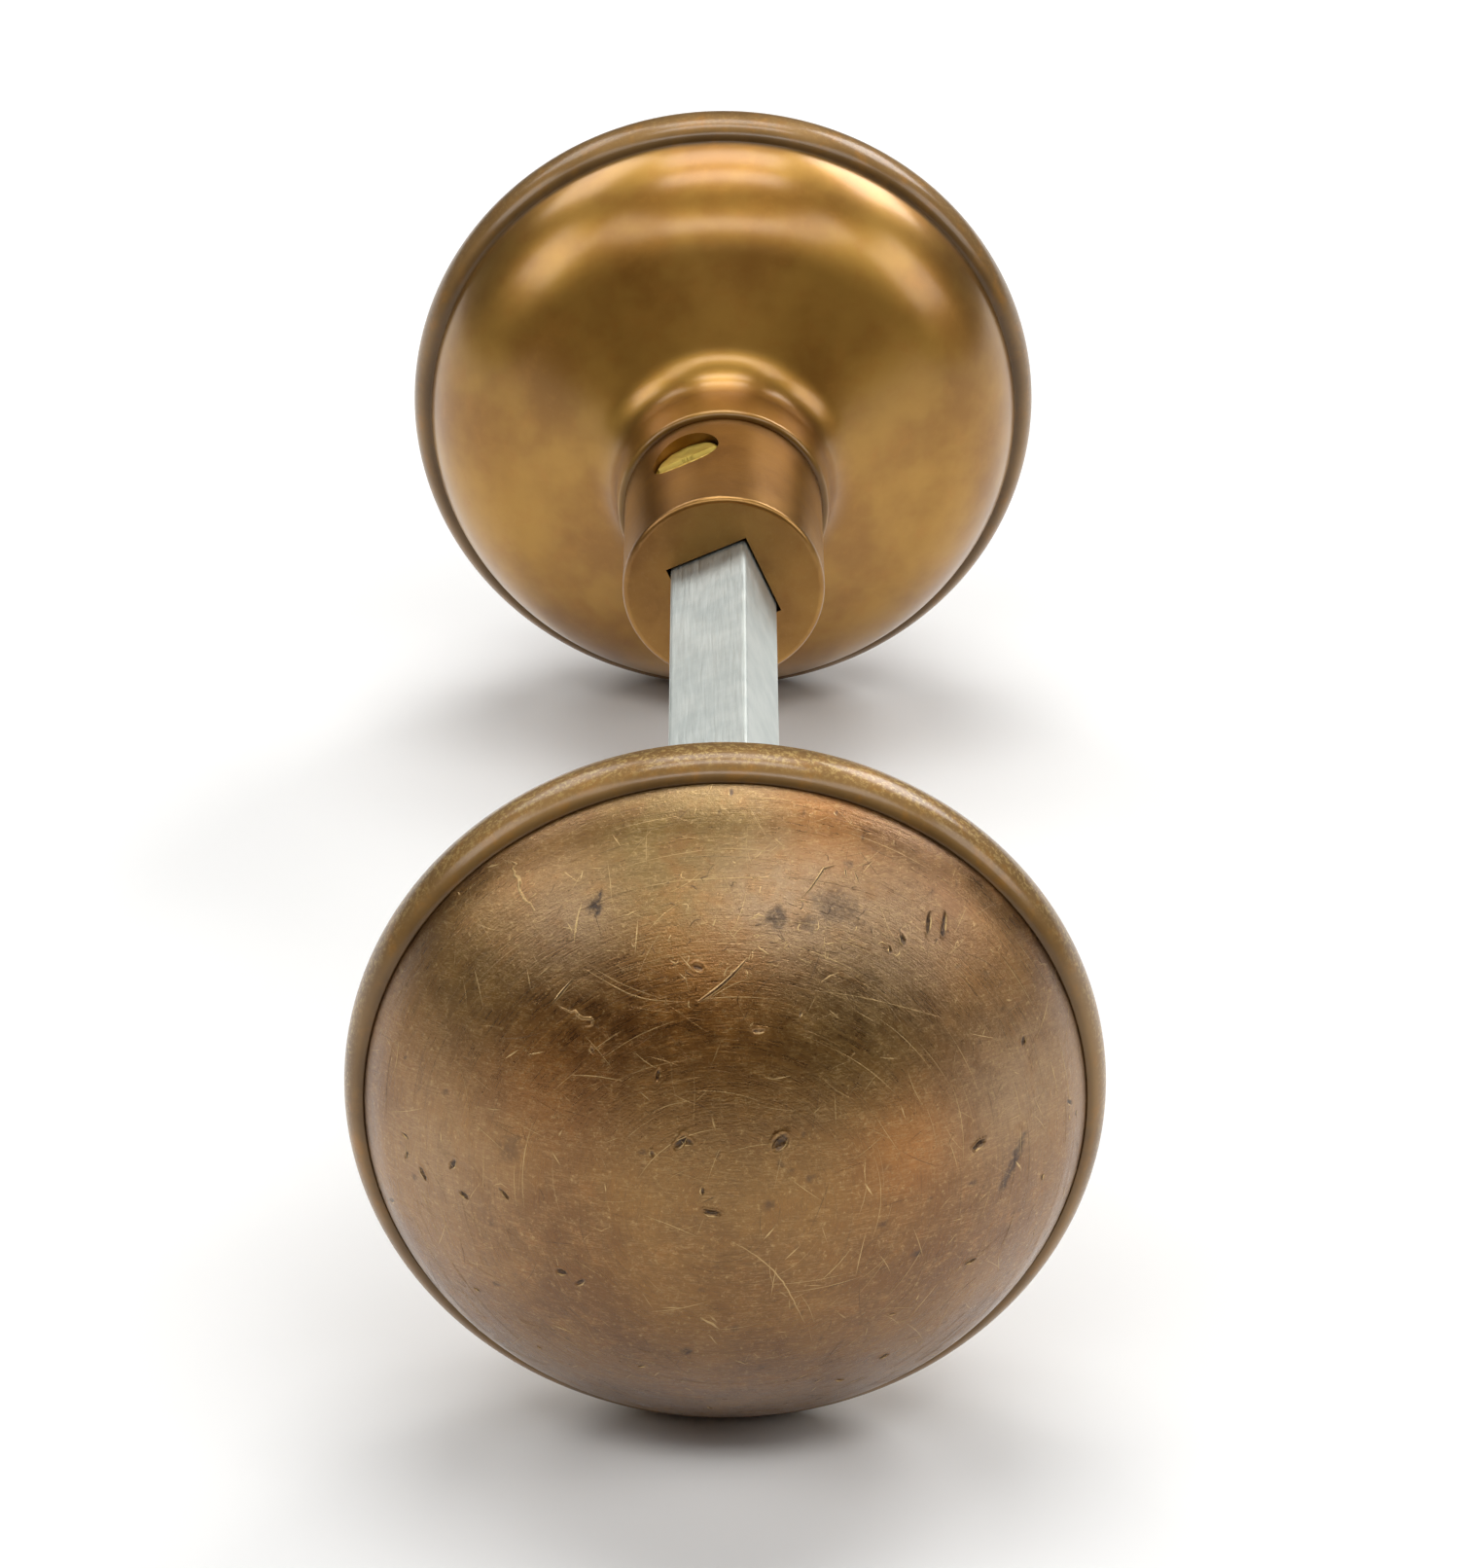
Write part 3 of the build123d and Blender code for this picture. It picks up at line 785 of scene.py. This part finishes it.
# ---------------------------------------------------------------- materials
class Graph:
    """A material's node tree, with short calls for the nodes used here."""

    def __init__(self, name):
        self.material = bpy.data.materials.new(name)
        self.material.use_nodes = True
        self.tree = self.material.node_tree
        self.tree.nodes.clear()
        self.shader = self.add("ShaderNodeBsdfPrincipled")
        output = self.add("ShaderNodeOutputMaterial")
        self.tree.links.new(self.shader.outputs[0], output.inputs[0])

    def add(self, kind, inputs=None, **settings):
        node = self.tree.nodes.new(kind)
        for key, value in settings.items():
            setattr(node, key, value)
        for key, value in (inputs or {}).items():
            self.put(node.inputs[key], value)
        return node

    def put(self, socket, value):
        if isinstance(value, bpy.types.NodeSocket):
            self.tree.links.new(value, socket)
        else:
            socket.default_value = value

    def math(self, operation, a, b=0.0, clamp=False):
        node = self.add("ShaderNodeMath", {0: a, 1: b}, operation=operation, use_clamp=clamp)
        return node.outputs[0]

    def times(self, a, b, clamp=False):
        return self.math("MULTIPLY", a, b, clamp)

    def total(self, *values):
        """The sum of these values."""
        result = values[0]
        for value in values[1:]:
            result = self.math("ADD", result, value)
        return result

    def mix(self, amount, a, b, blend="MIX"):
        node = self.add("ShaderNodeMix", data_type="RGBA", blend_type=blend)
        self.put(node.inputs[0], amount)
        self.put(node.inputs[6], a)
        self.put(node.inputs[7], b)
        return node.outputs[2]

    def attribute(self, name, output="Fac"):
        return self.add("ShaderNodeAttribute", attribute_name=name).outputs[output]

    def layer(self, colour, amount, strength, shade):
        """The colour with this shade over it, as much as the amount times the strength says."""
        return self.mix(self.times(amount, strength), colour, shade)

    def place(self):
        """The point in the piece's own frame, in millimetres."""
        where = self.add("ShaderNodeTexCoord").outputs["Object"]
        scale = (1 / MM, 1 / MM, 1 / MM)
        return self.add("ShaderNodeVectorMath", {0: where, 1: scale}, operation="MULTIPLY").outputs[0]

    def noise(self, where, scale, detail=4.0, roughness=0.55, distortion=0.0, **moved):
        """Noise from 0 to 1 at a point, or at the point moved by a stretch, a turn and a shift."""
        if moved:
            mapping = {
                "Vector": where,
                "Location": moved.get("shift", (0, 0, 0)),
                "Rotation": moved.get("turn", (0, 0, 0)),
                "Scale": moved.get("stretch", (1, 1, 1)),
            }
            where = self.add("ShaderNodeMapping", mapping).outputs[0]
        inputs = {"Vector": where, "Scale": scale, "Detail": detail, "Roughness": roughness}
        inputs["Distortion"] = distortion
        return self.add("ShaderNodeTexNoise", inputs).outputs[0]

    def ramp(self, value, low, high, low_to=0.0, high_to=1.0):
        return self.add(
            "ShaderNodeMapRange",
            {0: value, 1: low, 2: high, 3: low_to, 4: high_to},
            clamp=True,
            interpolation_type="SMOOTHSTEP",
        ).outputs[0]

    def band(self, value, centre, half_width):
        """1 where the value is at the centre, 0 beyond half a width."""
        off = self.math("ABSOLUTE", self.math("SUBTRACT", value, centre))
        return self.ramp(off, 0.0, half_width, 1.0, 0.0)

    def scaled(self, vector, factor):
        return self.add("ShaderNodeVectorMath", {0: vector, "Scale": factor}, operation="SCALE").outputs[0]

    def bump(self, height, distance, strength=1.0):
        inputs = {"Height": height, "Distance": distance, "Strength": strength}
        return self.add("ShaderNodeBump", inputs).outputs[0]

    def finish(self, colour, roughness, relief):
        """A metal with this colour, roughness and relief."""
        self.put(self.shader.inputs["Base Color"], colour)
        self.put(self.shader.inputs["Metallic"], 1.0)
        self.put(self.shader.inputs["Roughness"], roughness)
        self.put(self.shader.inputs["Normal"], relief)
        return self.material


def srgb(red, green, blue):
    """A colour given in sRGB bytes, as the linear colour that a shader needs."""
    values = [v / 255 for v in (red, green, blue)]
    return tuple(v / 12.92 if v <= 0.04045 else ((v + 0.055) / 1.055) ** 2.4 for v in values) + (1.0,)


def ring_noise(graph, flat, fineness, turns):
    """Noise in fine rings round the top of a knob, from polishing: so many per millimetre and per turn."""
    run = graph.add("ShaderNodeVectorMath", {0: flat}, operation="LENGTH").outputs["Value"]
    round_it = graph.add("ShaderNodeVectorMath", {0: flat}, operation="NORMALIZE").outputs[0]
    round_it = graph.scaled(round_it, turns / (2 * math.pi))
    out = graph.add("ShaderNodeCombineXYZ", {2: graph.math("MULTIPLY", run, fineness)}).outputs[0]
    where = graph.add("ShaderNodeVectorMath", {0: round_it, 1: out}, operation="ADD").outputs[0]
    return graph.noise(where, 1.0, 3, 0.6, 0.3)


def contour(graph, where, scale, width, mask, distortion=0.0, **moved):
    """Thin lines where a noise passes its middle value, kept only where the mask is 1."""
    value = graph.noise(where, scale, 2, 0.5, distortion, **moved)
    return graph.times(graph.band(value, 0.5, width), mask)


ORANGE_PATINA = srgb(172, 108, 40)
OLIVE_PATINA_AND_SHADE = srgb(118, 94, 42)
GREY_PATINA_AND_SHEEN = srgb(156, 128, 96)
DARK_SPECK = srgb(76, 50, 28)
SCRIBBLE_BROWN = srgb(80, 54, 28)
# Colour of stains and of the painted shade inside nicks
STAIN_AND_SHADE_BROWN = srgb(50, 36, 28)
CUT_BROWN = srgb(54, 36, 20)
# Colour of the dirt and painted shade in creases
DIRT_AND_SHADE_BROWN = srgb(48, 32, 18)
RELIEF = 0.00002  # metres that the finest grain of a surface rises


def brass_rings(graph, place, flat, turned):
    """Fine and broad noise in rings: round the axis of a turned piece, or round the top of a sheet one."""
    if turned:
        fine = graph.noise(place, 1.0, 3, 0.6, stretch=(0.2, 5.0, 0.2))
        broad = graph.noise(place, 1.0, 2, 0.5, stretch=(0.1, 0.8, 0.1))
    else:
        fine = ring_noise(graph, flat, 8.0, 50)
        broad = ring_noise(graph, flat, 1.2, 24)
    return fine, broad


def patina(graph, place, mottle, speck, shades, texture):
    """Brass with its clouds, tinted patches, some of them partly painted sheen and painted shade, and
    specks. Its shades are base, deep, glow and pale.
    """
    base, deep, glow, pale = shades
    cloud = graph.noise(place, 0.11, 4, 0.55)
    colour = graph.mix(graph.ramp(cloud, 0.34, 0.66), base, deep)
    colour = graph.layer(colour, graph.ramp(mottle, 0.48, 0.72), 0.5, glow)
    tint = graph.add("ShaderNodeSeparateXYZ", {0: graph.attribute("tint", "Vector")}).outputs
    patchy = graph.ramp(mottle, 0.25, 0.6, 0.35, 0.85)
    for share, shade in zip(tint, (ORANGE_PATINA, OLIVE_PATINA_AND_SHADE, GREY_PATINA_AND_SHEEN)):
        colour = graph.layer(colour, share, patchy, shade)
    colour = graph.layer(colour, graph.ramp(speck, 0.53, 0.75), 0.5 * texture, pale)
    return graph.layer(colour, graph.ramp(speck, 0.44, 0.25), 0.4 * texture, DARK_SPECK)


def brushed(graph, colour, rings, broad_rings, texture):
    """The colour with fine and broad streaks from polishing."""
    fine = graph.ramp(rings, 0.3, 0.7, -0.09, 0.09)
    streak = graph.total(fine, graph.ramp(broad_rings, 0.3, 0.7, 0.95, 1.05))
    grey = graph.add("ShaderNodeCombineXYZ", {0: streak, 1: streak, 2: streak}).outputs[0]
    return graph.mix(texture, colour, grey, "MULTIPLY")


def hair_scratches(graph, flat, worn_here):
    """Hair-thin scratches in four directions."""
    hairs = contour(graph, flat, 1.0, 0.015, worn_here, stretch=(0.25, 3.0, 1), turn=(0, 0, 0.4))
    for angle in (1.1, 1.9, 2.7):
        moved = {"stretch": (0.3, 3.0, 1), "turn": (0, 0, angle), "shift": (angle * 9, 0, 0)}
        hairs = graph.math("MAXIMUM", hairs, contour(graph, flat, 1.0, 0.015, worn_here, **moved))
    return hairs


def marked(graph, colour, stain_and_shade, dirt_and_shade, speck, pale):
    """The colour with its stains, dark and pale marks, dirt and painted shade in creases and nicks,
    painted highlights on nick edges, and bright worn edges.
    """
    # Stains, and the painted shade inside the nicks.
    colour = graph.layer(colour, stain_and_shade, graph.ramp(speck, 0.62, 0.45, 0.35, 0.9), STAIN_AND_SHADE_BROWN)
    # Pale and dark scratches and cuts; the pale ribbons on the nicks' lower edges are painted highlights.
    mark = graph.attribute("mark")
    colour = graph.mix(graph.times(mark, 0.85, clamp=True), colour, pale)
    colour = graph.mix(graph.times(mark, -0.8, clamp=True), colour, CUT_BROWN)
    # Dirt and painted shade in the seams, the groove, the neck's lip and the screw's hole.
    colour = graph.layer(colour, dirt_and_shade, 0.85, DIRT_AND_SHADE_BROWN)
    wear = graph.times(graph.attribute("wear"), graph.ramp(speck, 0.48, 0.6))
    return graph.layer(colour, wear, 0.6, pale)


def old_brass(name, shades, roughness, coat=0.5, turned=False, texture=1.0, bead=None):
    """Old brass with a thin dull skin: patina, brushed rings, scratches, stains, marks, wear, dirt,
    painted shade and painted highlights.

    Its shades are base, deep, glow and pale, and bead holds the base and deep shades of the rim bead.
    """
    graph = Graph(name)
    place = graph.place()
    flat = graph.attribute("flat", "Vector")
    mottle = graph.noise(place, 0.5, 5, 0.65, 0.3, shift=(31, 7, 3))
    speck = graph.noise(place, 2.6, 5, 0.75, shift=(11, 5, 9))
    grain = graph.noise(place, 7.0, 2, 0.6)
    rings, broad_rings = brass_rings(graph, place, flat, turned)
    base, deep, glow, pale = shades
    handled = graph.attribute("bead")
    if bead:
        base = graph.mix(handled, base, bead[0])
        deep = graph.mix(handled, deep, bead[1])
    colour = patina(graph, place, mottle, speck, (base, deep, glow, pale), texture)
    colour = brushed(graph, colour, rings, broad_rings, texture)
    worn_here = graph.ramp(mottle, 0.3, 0.7)
    scribble = contour(graph, flat, 0.9, 0.02, worn_here, 1.2, shift=(5, 3, 0))
    colour = graph.layer(colour, hair_scratches(graph, flat, worn_here), 0.3 * texture, pale)
    colour = graph.layer(colour, scribble, 0.35 * texture, SCRIBBLE_BROWN)
    stain_and_shade = graph.attribute("stain_and_shade")
    dirt_and_shade = graph.attribute("dirt_and_shade")
    colour = marked(graph, colour, stain_and_shade, dirt_and_shade, speck, pale)
    spread = 0.06 * texture
    rough = graph.total(
        graph.ramp(mottle, 0.3, 0.75, roughness - spread, roughness + spread),
        graph.ramp(rings, 0.3, 0.7, -spread, spread),
        graph.times(graph.total(dirt_and_shade, stain_and_shade), 0.2),
        graph.times(handled, 0.2),
    )
    heights = ((grain, 0.8), (speck, 1.6), (rings, 0.9), (scribble, -0.3), (stain_and_shade, -0.5))
    height = graph.total(*(graph.times(value, share) for value, share in heights))
    relief = graph.bump(height, RELIEF, texture)
    graph.put(graph.shader.inputs["Coat Weight"], coat)
    graph.put(graph.shader.inputs["Coat Roughness"], 0.2)
    graph.put(graph.shader.inputs["Coat Normal"], relief)
    return graph.finish(colour, rough, relief)


def zinc_steel():
    """Zinc-plated drawn bar: pale grey with a green cast, faint marks along its length."""
    graph = Graph("zinc_plate")
    place = graph.place()
    lines = graph.noise(place, 1.0, 3, 0.6, stretch=(9, 0.25, 9))
    cloud = graph.noise(place, 0.25, 4, 0.6)
    grain = graph.noise(place, 6.0, 3, 0.6)
    colour = graph.mix(graph.ramp(cloud, 0.3, 0.7), srgb(192, 198, 194), srgb(208, 212, 207))
    colour = graph.layer(colour, graph.ramp(lines, 0.5, 0.75), 0.3, srgb(226, 227, 223))
    relief = graph.bump(graph.total(lines, graph.times(grain, 0.3)), RELIEF, 0.5)
    return graph.finish(colour, graph.ramp(lines, 0.3, 0.7, 0.46, 0.6), relief)


def plain_steel():
    """Mill steel of the hidden pieces: grey with darker scale and a fine grain."""
    graph = Graph("mill_steel")
    place = graph.place()
    cloud = graph.noise(place, 0.2, 5, 0.6)
    grain = graph.noise(place, 4.0, 4, 0.6)
    colour = graph.mix(graph.ramp(cloud, 0.35, 0.65), srgb(120, 120, 122), srgb(82, 78, 74))
    relief = graph.bump(grain, 1.5 * RELIEF, 0.5)
    return graph.finish(colour, graph.ramp(grain, 0.3, 0.7, 0.4, 0.6), relief)


def dress(thing, material):
    """Gives every face of an object this one material."""
    thing.data.materials.clear()
    thing.data.materials.append(material)


# ---------------------------------------------------------------- the pieces
# Shades of each brass: base, deep, glow and pale.
DOME_SHADES = (srgb(136, 94, 43), srgb(114, 74, 32), srgb(148, 96, 42), srgb(210, 176, 118))
BOWL_SHADES = (srgb(172, 129, 56), srgb(146, 102, 40), srgb(166, 116, 48), srgb(206, 180, 116))
BEAD_SHADES = (srgb(146, 113, 68), srgb(126, 95, 54))
SHANK_SHADES = (srgb(154, 113, 54), srgb(130, 90, 42), srgb(150, 104, 46), srgb(184, 150, 92))
SCREW_SHADES = (srgb(222, 196, 96), srgb(196, 164, 72), srgb(214, 180, 84), srgb(244, 226, 140))

dome_brass = old_brass("dome_brass", DOME_SHADES, 0.35, coat=0.7)
bowl_brass = old_brass("bowl_brass", BOWL_SHADES, 0.4, coat=0.7, texture=0.06, bead=BEAD_SHADES)
shank_brass = old_brass("shank_brass", SHANK_SHADES, 0.36, coat=0.4, turned=True, texture=0.3)
screw_brass = old_brass("screw_brass", SCREW_SHADES, 0.4, coat=0.1, texture=0.3)
steel = plain_steel()

dress(nodes["spindle"], zinc_steel())
for which in SIDES:
    dome = face_shell(which)
    dress(dome, dome_brass)
    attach(dome, f"{which}_knob")
    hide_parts(f"{which}_face_shell")
    bowl = back_shell(which)
    dress(bowl, bowl_brass)
    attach(bowl, f"{which}_knob")
    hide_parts(f"{which}_back_shell")
    dress(nodes[f"{which}_shank"], shank_brass)
    screw = set_screw(which)
    dress(screw, screw_brass)
    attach(screw, f"{which}_screw")
    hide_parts(f"{which}_set_screw")
    dress(nodes[f"{which}_core_plate"], steel)
    dress(nodes[f"{which}_rivet_washer"], steel)


# ---------------------------------------------------------------- floor, light and camera
def make_floor():
    """A wide white table top that the knobs' rims stand on."""
    half = 6.0
    corners = [(half * x, half * y, FLOOR_Z) for x, y in ((-1, -1), (1, -1), (1, 1), (-1, 1))]
    floor = make_object("floor", corners, [(0, 1, 2, 3)])
    graph = Graph("white_table")
    graph.put(graph.shader.inputs["Base Color"], (0.86, 0.86, 0.85, 1))
    graph.put(graph.shader.inputs["Roughness"], 0.7)
    dress(floor, graph.material)


def aim(thing, place, target):
    """Puts a light or card at a place, facing a target."""
    thing.location = place
    thing.rotation_euler = (Vector(target) - Vector(place)).to_track_quat("-Z", "Y").to_euler()
    bpy.context.scene.collection.objects.link(thing)


def soft_box(name, azimuth, elevation, distance, wide, high, radiance):
    """A rectangular area light in a direction seen from the object: azimuth 0 is towards the camera."""
    a = math.radians(azimuth)
    e = math.radians(elevation)
    place = Vector((math.sin(a) * math.cos(e), -math.cos(a) * math.cos(e), math.sin(e))) * distance
    light = bpy.data.lights.new(name, "AREA")
    light.shape = "RECTANGLE"
    light.size = wide
    light.size_y = high
    light.energy = radiance * math.pi * wide * high
    aim(bpy.data.objects.new(name, light), place, (0, 0, 0))


def dark_card():
    """The dim room on the camera's side, a bent card that only reflections see."""
    radius = 1.6
    spans = 30
    turns = np.radians(np.linspace(-50, 50, spans + 1))
    points = [(radius * math.sin(a), -radius * math.cos(a), z) for z in (-0.02, 0.9) for a in turns]
    faces = [(i, i + 1, i + spans + 2, i + spans + 1) for i in range(spans)]
    card = make_object("dark_room", points, faces)
    graph = Graph("dark_room_paint")
    graph.put(graph.shader.inputs["Base Color"], (0.16, 0.10, 0.05, 1))
    graph.put(graph.shader.inputs["Roughness"], 1.0)
    dress(card, graph.material)
    card.visible_camera = False
    card.visible_diffuse = False
    card.visible_shadow = False


def make_world():
    """Even pale light from all round."""
    world = bpy.data.worlds.new("studio")
    world.use_nodes = True
    background = world.node_tree.nodes["Background"]
    background.inputs["Color"].default_value = (1, 1, 1, 1)
    background.inputs["Strength"].default_value = 0.05
    bpy.context.scene.world = world


CAMERA_PLACE = (-0.00056, -0.4857, 0.2411)
CAMERA_TILT = 62.94  # degrees up from looking straight down
CAMERA_TURN = -0.12  # degrees to the left
CAMERA_LENS = 148.53  # focal length for the sensor's width, both in millimetres
CAMERA_SENSOR = 36


def make_camera():
    """The camera above and in front of the front knob, nearly in line with the spindle."""
    data = bpy.data.cameras.new("camera")
    data.sensor_width = CAMERA_SENSOR
    data.lens = CAMERA_LENS
    data.clip_start = 0.01
    data.clip_end = 50
    camera = bpy.data.objects.new("camera", data)
    camera.location = CAMERA_PLACE
    camera.rotation_euler = (math.radians(CAMERA_TILT), 0, math.radians(CAMERA_TURN))
    bpy.context.scene.collection.objects.link(camera)
    bpy.context.scene.camera = camera


# Soft boxes: azimuth and elevation in degrees, distance, width and height in metres, and radiance.
LIGHTS = {
    "key": (0, 54.5, 1.3, 0.8, 0.24, 5.6),
    "key_right": (50, 52, 1.3, 0.6, 0.35, 3.6),
    "key_left": (-50, 52, 1.3, 0.6, 0.35, 2.8),
    "top": (180, 81, 1.3, 0.8, 0.25, 7.0),
    "front_low": (0, 36, 1.4, 0.8, 0.2, 0.25),
    "right": (80, 28, 1.4, 0.7, 0.6, 3.4),
    "left": (-80, 34, 1.4, 0.7, 0.5, 3.5),
    "top_back": (180, 60, 1.3, 0.7, 0.35, 5.5),
    "back_right": (140, 35, 1.4, 0.6, 0.5, 8.0),
    "back_left": (-140, 40, 1.4, 0.6, 0.5, 3.8),
}

make_floor()
dark_card()
make_world()
for name, values in LIGHTS.items():
    soft_box(name, *values)
make_camera()
bpy.context.scene.view_settings.view_transform = "Standard"
